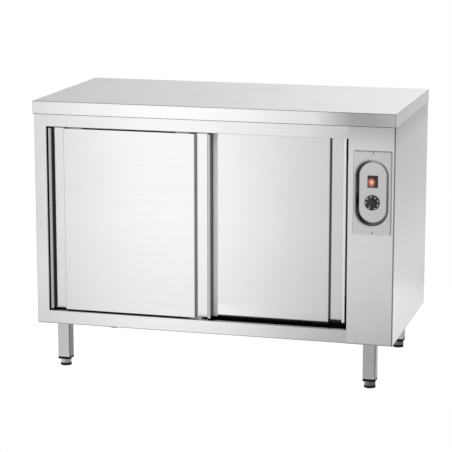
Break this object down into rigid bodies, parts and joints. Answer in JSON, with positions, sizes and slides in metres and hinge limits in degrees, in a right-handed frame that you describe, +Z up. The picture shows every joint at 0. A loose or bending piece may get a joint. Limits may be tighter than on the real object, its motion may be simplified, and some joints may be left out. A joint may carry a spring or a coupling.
{
  "type": "plate warmer cabinet",
  "caption": "Free-standing steel warming cabinet with a flat worktop, sliding doors with recessed grips, a dial and rocker switch, and square legs on adjusting feet.",
  "frame": {"origin": "on the floor, below the centre of the cabinet's overall box", "axes": "+Z up, +X to the right as seen from the doors, +Y from the doors to the back"},
  "size_m": [1.15, 0.6, 0.86],
  "materials": {
    "worktop_steel": "fine brushed, satin",
    "carcass_steel": "fine brushed, satin",
    "door_steel": "fine upright brushing, satin",
    "liner_steel": "mill finish",
    "plate_steel": "pressed and brushed",
    "leg_steel": "brushed tube",
    "foot_steel": "turned, with a black moulded base",
    "galvanised_steel": "dull zinc",
    "screw_steel": "bright",
    "core_board": "raw board",
    "mineral_wool": "matted fibre",
    "guide_nylon": "natural nylon",
    "stop_rubber": "matt",
    "switch_black": "gloss",
    "lamp_lens": "clear orange red, lit",
    "knob_black": "satin with white numbers",
    "thermostat_grey": "moulded",
    "probe_copper": "drawn copper",
    "element_steel": "heat darkened tube",
    "motor_grey": "grey enamel",
    "fan_aluminium": "stamped",
    "terminal_white": "moulded",
    "gland_black": "satin",
    "plug_black": "satin"
  },
  "bodies": {
    "cabinet": {"worktop": "worktop_steel", "worktop_core": "core_board", "worktop_battens": "galvanised_steel", "left_side_panel": "carcass_steel", "right_side_panel": "carcass_steel", "top_rail": "carcass_steel", "bottom_rail": "carcass_steel", "carcass_roof": "galvanised_steel", "base_pan": "carcass_steel", "back_panel": "carcass_steel", "back_panel_screws": "screw_steel", "chamber_left_wall": "liner_steel", "chamber_right_wall": "liner_steel", "chamber_back_wall": "liner_steel", "chamber_ceiling": "liner_steel", "chamber_floor": "liner_steel", "insulation_mats": "mineral_wool", "door_trough": "liner_steel", "door_track": "galvanised_steel", "door_floor_guide": "guide_nylon", "door_bumpers": "stop_rubber", "shelf_uprights": "liner_steel", "shelf_clips": "galvanised_steel", "control_plate": "plate_steel", "control_plate_screws": "screw_steel", "switch_housing": "switch_black", "thermostat_body": "thermostat_grey", "thermostat_probe": "probe_copper", "heater_box": "galvanised_steel", "heating_element": "element_steel", "fan_motor": "motor_grey", "terminal_block": "terminal_white", "cable_gland": "gland_black", "leg_plugs": "plug_black", "leg_bolts": "screw_steel", "front_left_leg": "leg_steel", "front_right_leg": "leg_steel", "rear_left_leg": "leg_steel", "rear_right_leg": "leg_steel"},
    "left_door": {"left_door_shell": "door_steel", "left_door_liner": "liner_steel", "left_door_insulation": "mineral_wool", "left_door_hangers": "galvanised_steel"},
    "left_door_left_roller": {"left_door_left_roller": "guide_nylon"},
    "left_door_right_roller": {"left_door_right_roller": "guide_nylon"},
    "right_door": {"right_door_shell": "door_steel", "right_door_liner": "liner_steel", "right_door_insulation": "mineral_wool", "right_door_hangers": "galvanised_steel"},
    "right_door_left_roller": {"right_door_left_roller": "guide_nylon"},
    "right_door_right_roller": {"right_door_right_roller": "guide_nylon"},
    "shelf": {"shelf": "liner_steel"},
    "switch_rocker": {"switch_rocker": "lamp_lens"},
    "knob": {"thermostat_knob": "knob_black", "thermostat_shaft": "screw_steel"},
    "fan": {"fan_impeller": "fan_aluminium"},
    "front_left_foot": {"front_left_foot": "foot_steel"},
    "front_right_foot": {"front_right_foot": "foot_steel"},
    "rear_left_foot": {"rear_left_foot": "foot_steel"},
    "rear_right_foot": {"rear_right_foot": "foot_steel"}
  },
  "joints": [
    {"name": "left_door_slide", "type": "slide", "parent": "cabinet", "child": "left_door", "axis": [1, 0, 0], "range_m": [0, 0.425]},
    {"name": "right_door_slide", "type": "slide", "parent": "cabinet", "child": "right_door", "axis": [1, 0, 0], "range_m": [-0.41, 0]},
    {"name": "left_door_left_roller_spin", "type": "hinge", "parent": "left_door", "child": "left_door_left_roller", "pos_m": [-0.441, -0.2619, 0.7928], "axis": [0, 1, 0], "range_deg": [0, 2436]},
    {"name": "left_door_right_roller_spin", "type": "hinge", "parent": "left_door", "child": "left_door_right_roller", "pos_m": [-0.0922, -0.2619, 0.7928], "axis": [0, 1, 0], "range_deg": [0, 2436]},
    {"name": "right_door_left_roller_spin", "type": "hinge", "parent": "right_door", "child": "right_door_left_roller", "pos_m": [-0.0231, -0.2259, 0.7928], "axis": [0, 1, 0], "range_deg": [-2350, 0]},
    {"name": "right_door_right_roller_spin", "type": "hinge", "parent": "right_door", "child": "right_door_right_roller", "pos_m": [0.3257, -0.2259, 0.7928], "axis": [0, 1, 0], "range_deg": [-2350, 0]},
    {"name": "shelf_lift", "type": "slide", "parent": "cabinet", "child": "shelf", "axis": [0, 0, 1], "range_m": [0, 0.05]},
    {"name": "switch_rock", "type": "hinge", "parent": "cabinet", "child": "switch_rocker", "pos_m": [0.50385, -0.2819, 0.6508], "axis": [1, 0, 0], "range_deg": [-16, 0]},
    {"name": "knob_turn", "type": "hinge", "parent": "cabinet", "child": "knob", "pos_m": [0.50295, -0.29, 0.5865], "axis": [0, 1, 0], "range_deg": [0, 270]},
    {"name": "fan_spin", "type": "hinge", "parent": "cabinet", "child": "fan", "pos_m": [0.49, 0.02, 0.416], "axis": [1, 0, 0], "continuous": true},
    {"name": "front_left_foot_screw", "type": "slide", "parent": "cabinet", "child": "front_left_foot", "axis": [0, 0, -1], "range_m": [0, 0.03]},
    {"name": "front_right_foot_screw", "type": "slide", "parent": "cabinet", "child": "front_right_foot", "axis": [0, 0, -1], "range_m": [0, 0.03]},
    {"name": "rear_left_foot_screw", "type": "slide", "parent": "cabinet", "child": "rear_left_foot", "axis": [0, 0, -1], "range_m": [0, 0.03]},
    {"name": "rear_right_foot_screw", "type": "slide", "parent": "cabinet", "child": "rear_right_foot", "axis": [0, 0, -1], "range_m": [0, 0.03]}
  ],
  "couplings": [
    {"joint": "left_door_left_roller_spin", "follows": "left_door_slide", "rad_per_m": 100},
    {"joint": "left_door_right_roller_spin", "follows": "left_door_slide", "rad_per_m": 100},
    {"joint": "right_door_left_roller_spin", "follows": "right_door_slide", "rad_per_m": 100},
    {"joint": "right_door_right_roller_spin", "follows": "right_door_slide", "rad_per_m": 100}
  ]
}
